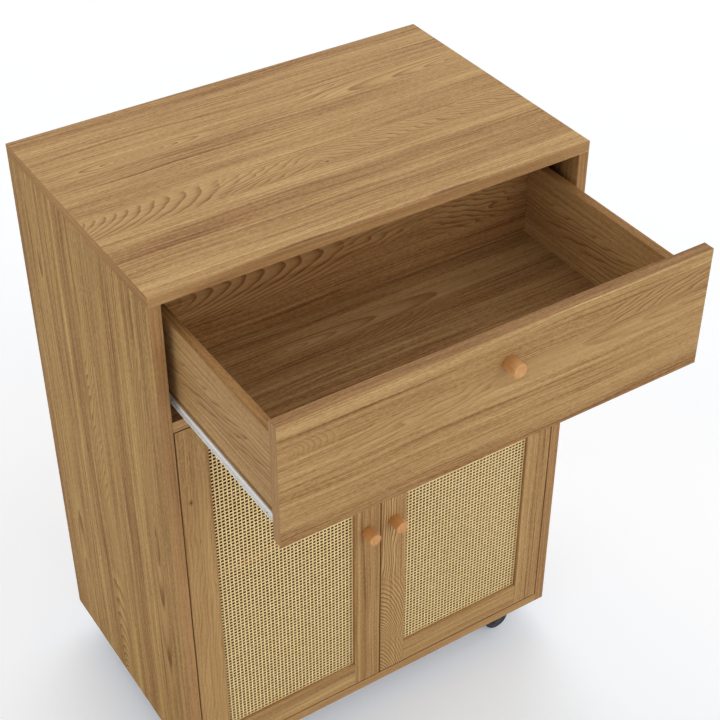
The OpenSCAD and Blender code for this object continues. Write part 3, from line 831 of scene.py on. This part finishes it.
STEEL_WHITE = plain("white_powder_coat", colour(240, 240, 238), roughness=0.42, grit=0.10, grit_size=0.5)
ZINC = plain("zinc_plate", colour(196, 198, 200), roughness=0.34, metallic=1.0, grit=0.08, grit_size=0.4)
BROWN_NYLON = plain("brown_nylon_plastic", colour(98, 72, 46), roughness=0.55, grit=0.05)
BRONZE = plain("bronzed_steel", colour(110, 86, 60), roughness=0.45, metallic=0.6, grit=0.08, grit_size=0.4)
AXLE = plain("blackened_axle_steel", colour(60, 60, 62), roughness=0.5, grit=0.08, grit_size=0.4)
NYLON = plain("white_nylon_plastic", colour(228, 226, 218), roughness=0.45, grit=0.05)
BLACK = plain("black_caster_plastic", colour(58, 58, 61), roughness=0.46, grit=0.12, grit_size=0.5)
TREAD = plain("grey_black_tread", colour(44, 44, 47), roughness=0.62, grit=0.15, grit_size=0.8)

# Middle of a ramp from dark to pale
MIDDLE_TONE = 0.5

# Turned hardwood, lengths in millimetres: its streaks, the bands that turning leaves, and their shares
KNOB_TONES = ((0.15, colour(186, 127, 72)), (0.5, colour(210, 154, 96)), (0.85, colour(224, 172, 112)))
KNOB_STREAK_LENGTH = 7
KNOB_STREAK_WIDTH = 1.5
KNOB_STREAK_SHARE = 0.7
TURNED_PATCH = 9
TURNED_BAND = 1.2
TURNED_SHARE = 0.5
KNOB_ROUGHNESS = 0.5
KNOB_SPECULAR = 0.3
KNOB_RELIEF = 0.2

# How far the seed of a knob's wood moves with the knob's place, for each metre
SEEDS_A_METRE = 10


def knob_material(name, centre):
    """Turned hardwood: rings round the axis on the side, soft grain on the face."""
    made, tree = new_material(name)
    place = tree.place()
    level, left = (
        tree.math("MULTIPLY", tree.math("SUBTRACT", place[axis], centre[axis]), 1 / MM) for axis in (Z, X))
    depth = tree.math("DIVIDE", place[Y], MM)
    streak = tree.noise(
        tree.math("DIVIDE", level, KNOB_STREAK_LENGTH),
        tree.math("DIVIDE", left, KNOB_STREAK_WIDTH),
        centre[X] * SEEDS_A_METRE,
        detail=2,
    )
    turned = tree.noise(
        tree.math("DIVIDE", level, TURNED_PATCH),
        tree.math("DIVIDE", left, TURNED_PATCH),
        tree.math("DIVIDE", depth, TURNED_BAND),
    )
    tone = tree.sway(streak, KNOB_STREAK_SHARE, MIDDLE_TONE)
    tone = tree.sway(turned, TURNED_SHARE, tone)
    base = tree.ramp(tone, KNOB_TONES, colours=True)
    finish(tree, base, streak, KNOB_ROUGHNESS, KNOB_SPECULAR, KNOB_RELIEF)
    return made


# Cane, lengths in millimetres: (size, shift of the noise, detail) of its patches and fibres, and their shares
CANE_TONES = ((0.15, colour(233, 196, 134)), (0.5, colour(248, 217, 155)), (0.85, colour(254, 234, 178)))
CANE_PATCH = (9, 2.0, 2)
CANE_PATCH_SHARE = 0.9
CANE_FIBRE = (0.9, 5.0, 1)
CANE_FIBRE_SHARE = 0.5
CANE_ROUGHNESS = 0.5
CANE_SPECULAR = 0.15
CANE_RELIEF = 0.2


def cane_material():
    """Straw strands with a pale skin, in patches and fine fibres."""
    made, tree = new_material("cane_straw")
    place = tree.place()
    x = tree.math("DIVIDE", place[X], MM)
    z = tree.math("DIVIDE", place[Z], MM)
    patches, fibres = (
        tree.noise(tree.math("DIVIDE", x, size), tree.math("DIVIDE", z, size), shift, detail)
        for size, shift, detail in (CANE_PATCH, CANE_FIBRE))
    tone = tree.sway(patches, CANE_PATCH_SHARE, MIDDLE_TONE)
    tone = tree.sway(fibres, CANE_FIBRE_SHARE, tone)
    base = tree.ramp(tone, CANE_TONES, colours=True)
    finish(tree, base, fibres, CANE_ROUGHNESS, CANE_SPECULAR, CANE_RELIEF)
    return made


# Boards of the carcass
board("top_panel", "top_board", X, Z, TOP, EDGES)
board("left_side_panel", "left_side_board", Z, X, SIDE, EDGES)
board("right_side_panel", "right_side_board", Z, X, RIGHT_SIDE, EDGES)
board("divider_panel", "divider_board", X, Z, LYING, EDGES)
board("bottom_panel", "bottom_board", X, Z, LYING, EDGES)
# The shelf's edges take the darker drawer bands: painted shade on its front edge behind the cane
board("inner_shelf", "shelf_board", X, Z, LYING, DRAWER_EDGES)
board("back_panel", "back_board", Z, Y, BACK, EDGES)

# Drawer
board("drawer_front", "drawer_front_board", X, Y, FRONT, DRAWER_EDGES)
board("drawer_left_side", "drawer_left_board", Y, X, DRAWER_ALONG, DRAWER_EDGES)
board("drawer_right_side", "drawer_right_board", Y, X, DRAWER_ALONG, DRAWER_EDGES)
board("drawer_back", "drawer_back_board", X, Y, DRAWER_BACK, DRAWER_EDGES)
board("drawer_bottom", "drawer_bottom_board", X, Z, DRAWER_FLOOR, DRAWER_EDGES)

# Doors
STILES = {
    ("left", "outer"): LEFT_OUTER, ("left", "inner"): LEFT_INNER,
    ("right", "inner"): RIGHT_INNER, ("right", "outer"): RIGHT_OUTER,
}
for (side, place), material in STILES.items():
    board(f"{side}_door_{place}_stile", f"{side}_{place}_stile_board", Z, Y, material, EDGES)
for side in ("left", "right"):
    for end in ("top", "bottom"):
        board(f"{side}_door_{end}_rail", f"{side}_{end}_rail_board", X, Y, RAILS[side, end], EDGES)

# Cane webbing: strands of a door, corners round each, and their sizes
STRANDS_ACROSS = 39
STRANDS_DOWN = 95
STRAND_SIDES = 6
UPRIGHT_WIDTH = 2.0 * MM
LYING_WIDTH = 2.6 * MM
STRAND_BULGE = 0.05 * MM
STRAND_THICK = 0.3 * MM
STRAND_SWAY = 0.12 * MM


def strand(points, faces, path, along, across):
    """Add one strand. path holds (place along, offset to the front, width); across is its fixed place."""
    start = len(points)
    for place, offset, width in path:
        for corner in range(STRAND_SIDES):
            turn = 2 * math.pi * corner / STRAND_SIDES
            side = across + math.cos(turn) * width / 2
            depth = offset + math.sin(turn) * STRAND_THICK / 2
            points.append((place, depth, side) if along == X else (side, depth, place))
    for ring in range(len(path) - 1):
        for corner in range(STRAND_SIDES):
            following = (corner + 1) % STRAND_SIDES
            here = start + ring * STRAND_SIDES
            there = here + STRAND_SIDES
            faces.append((here + corner, here + following, there + following, there + corner))
    faces.append(tuple(start + corner for corner in reversed(range(STRAND_SIDES))))
    last = start + (len(path) - 1) * STRAND_SIDES
    faces.append(tuple(last + corner for corner in range(STRAND_SIDES)))


def weave(node, name, material):
    """Plain weave of flat strands filling the space of a cane sheet."""
    low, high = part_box(node)
    middle = (low[Y] + high[Y]) / 2
    pitch_x = (high[X] - low[X]) / STRANDS_ACROSS
    pitch_z = (high[Z] - low[Z]) / STRANDS_DOWN
    points = []
    faces = []

    def path(start, pitch, count, parity, width):
        """The steps of one strand, which goes over and under the others in turn."""
        narrow = width - STRAND_BULGE
        steps = [(start, middle, narrow)]
        for crossing in range(count):
            side = 1 if (crossing + parity) % 2 else -1
            over = middle + side * STRAND_SWAY
            steps.append((start + (crossing + 0.5) * pitch, over, width + STRAND_BULGE))
            steps.append((start + (crossing + 1) * pitch, middle, narrow))
        return steps

    for column in range(STRANDS_ACROSS):
        steps = path(low[Z], pitch_z, STRANDS_DOWN, column, UPRIGHT_WIDTH)
        strand(points, faces, steps, Z, low[X] + (column + 0.5) * pitch_x)
    for row in range(STRANDS_DOWN):
        steps = path(low[X], pitch_x, STRANDS_ACROSS, row + 1, LYING_WIDTH)
        strand(points, faces, steps, X, low[Z] + (row + 0.5) * pitch_z)
    mesh = bpy.data.meshes.new(name)
    mesh.from_pydata(points, [], faces)
    mesh.validate()
    made = bmesh.new()
    made.from_mesh(mesh)
    bmesh.ops.recalc_face_normals(made, faces=made.faces)
    made.to_mesh(mesh)
    made.free()
    for polygon in mesh.polygons:
        polygon.use_smooth = True
    mesh.materials.append(material)
    adopt(placed(name, mesh), node)


CANE = cane_material()
for side in ("left", "right"):
    weave(f"{side}_door_cane", f"{side}_cane_webbing", CANE)

# Knobs
for node in ("drawer_knob", "left_door_knob", "right_door_knob"):
    low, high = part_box(node)
    centre = (low + high) / 2
    smooth(node, f"{node}_turned", knob_material(f"{node}_wood", centre))

# Hardware, and the beads that hold the cane
for side in ("left", "right"):
    smooth(f"{side}_cabinet_runner", f"{side}_channel", STEEL_WHITE)
    smooth(f"{side}_drawer_runner", f"{side}_profile", STEEL_WHITE)
    smooth(f"{side}_cabinet_roller", f"{side}_channel_roller", NYLON)
    smooth(f"{side}_drawer_roller", f"{side}_profile_roller", NYLON)
    smooth(f"{side}_door_pivots", f"{side}_door_pivot_pins", BRONZE)
    smooth(f"{side}_door_strike", f"{side}_door_strike_plate", ZINC)
    smooth(f"{side}_door_knob_screw", f"{side}_door_knob_bolt", ZINC)
    board(f"{side}_door_beads", f"{side}_door_bead_strips", Z, Y, RAILS[side, "top"], EDGES)
smooth("drawer_knob_screw", "drawer_knob_bolt", ZINC)
smooth("cam_locks", "cam_lock_fittings", ZINC)
smooth("shelf_pins", "shelf_pin_set", ZINC)
smooth("pivot_bushes", "pivot_bush_set", BROWN_NYLON)
smooth("magnetic_catches", "catch_set", NYLON)
smooth("caster_plates", "caster_plate_set", BLACK)
smooth("caster_screws", "caster_screw_set", ZINC)
for corner in ("front_left", "front_right", "back_left", "back_right"):
    smooth(f"{corner}_fork", f"{corner}_caster_fork_shell", BLACK)
    smooth(f"{corner}_axle", f"{corner}_caster_axle_pin", AXLE)
    smooth(f"{corner}_wheel", f"{corner}_caster_tyre", TREAD)

# Floor in metres: its half width, the colour of its paper, the glow that only the camera sees, and a painted
# cool light, also seen only by the camera, that cancels the warm light the wood throws on the floor near the
# cabinet. The painted light is full up to the near distance from the middle and gone at the far one
FLOOR_HALF = 6.0
FLOOR_PAPER = (0.885, 0.90, 0.923, 1.0)
FLOOR_GLOW = 0.165
FLOOR_PAINTED_COOL = (0.0, 0.5, 1.0, 1.0)
FLOOR_PAINTED_COOL_LEVEL = 0.05
FLOOR_PAINTED_COOL_NEAR = 0.36
FLOOR_PAINTED_COOL_FAR = 0.64


def floor_material():
    """White paper, a little brighter to the camera, with painted cool light close to the cabinet that cancels
    the wood's warm bounce.
    """
    made, tree = new_material("white_floor")
    camera_ray = tree.add("ShaderNodeLightPath").outputs["Is Camera Ray"]
    paper = tree.add("ShaderNodeBsdfDiffuse")
    paper.inputs["Color"].default_value = FLOOR_PAPER
    glow = tree.add("ShaderNodeEmission")
    tree.put(tree.math("MULTIPLY", camera_ray, FLOOR_GLOW), glow.inputs["Strength"])
    away = tree.add("ShaderNodeVectorMath", operation="LENGTH")
    tree.put(tree.add("ShaderNodeTexCoord").outputs["Object"], away.inputs[0])
    near = tree.add("ShaderNodeMapRange")
    tree.put(away.outputs["Value"], near.inputs["Value"])
    near.inputs["From Min"].default_value = FLOOR_PAINTED_COOL_NEAR
    near.inputs["From Max"].default_value = FLOOR_PAINTED_COOL_FAR
    near.inputs["To Min"].default_value = FLOOR_PAINTED_COOL_LEVEL
    near.inputs["To Max"].default_value = 0.0
    # Painted cool light near the cabinet, against the warm light that the wood throws on the floor
    painted_cool_light = tree.add("ShaderNodeEmission")
    painted_cool_light.inputs["Color"].default_value = FLOOR_PAINTED_COOL
    tree.put(tree.math("MULTIPLY", camera_ray, near.outputs[0]), painted_cool_light.inputs["Strength"])
    surface = paper.outputs[0]
    for light in (glow, painted_cool_light):
        both = tree.add("ShaderNodeAddShader")
        tree.put(surface, both.inputs[0])
        tree.put(light.outputs[0], both.inputs[1])
        surface = both.outputs[0]
    leave = tree.add("ShaderNodeOutputMaterial")
    tree.put(surface, leave.inputs["Surface"])
    return made


floor_mesh = bpy.data.meshes.new("floor")
corners = [(FLOOR_HALF * x, FLOOR_HALF * y, 0) for x, y in ((-1, -1), (1, -1), (1, 1), (-1, 1))]
floor_mesh.from_pydata(corners, [], [(0, 1, 2, 3)])
floor_mesh.materials.append(floor_material())
floor = placed("floor", floor_mesh)

# Light. The world is white to the camera and in reflections, and faint to everything else
world = bpy.data.worlds.new("studio")
world.use_nodes = True
world.node_tree.nodes.clear()
bpy.context.scene.world = world
tree = Tree(world.node_tree)
ray = tree.add("ShaderNodeLightPath")
seen = tree.math("MAXIMUM", ray.outputs["Is Camera Ray"], ray.outputs["Is Glossy Ray"])
seen = tree.math("MAXIMUM", seen, ray.outputs["Is Transmission Ray"])
sky = tree.add("ShaderNodeBackground")
sky.inputs["Color"].default_value = (1.0, 1.0, 1.0, 1.0)
tree.put(tree.mix(seen, SKY_LEVEL, 1.0), sky.inputs["Strength"])
leave = tree.add("ShaderNodeOutputWorld")
tree.put(sky.outputs[0], leave.inputs["Surface"])


def sun(name, direction, level, angle):
    """Soft lamp far away. direction points from the object to the lamp."""
    data = bpy.data.lights.new(name, "SUN")
    data.energy = level * math.pi
    data.angle = math.radians(angle)
    placed(name, data).rotation_euler = Vector(direction).to_track_quat("Z", "Y").to_euler()


for lamp_name, (direction, level, spread) in LAMPS.items():
    sun(lamp_name, direction, level, spread)

# Camera
lens = bpy.data.cameras.new("camera")
lens.lens = CAMERA_LENS
lens.sensor_width = CAMERA_SENSOR
camera = placed("camera", lens)
camera.location = CAMERA_PLACE
camera.rotation_euler = Euler((math.pi / 2 - CAMERA_DOWN, 0.0, CAMERA_ROUND))
bpy.context.scene.camera = camera
bpy.context.scene.view_settings.view_transform = "Standard"
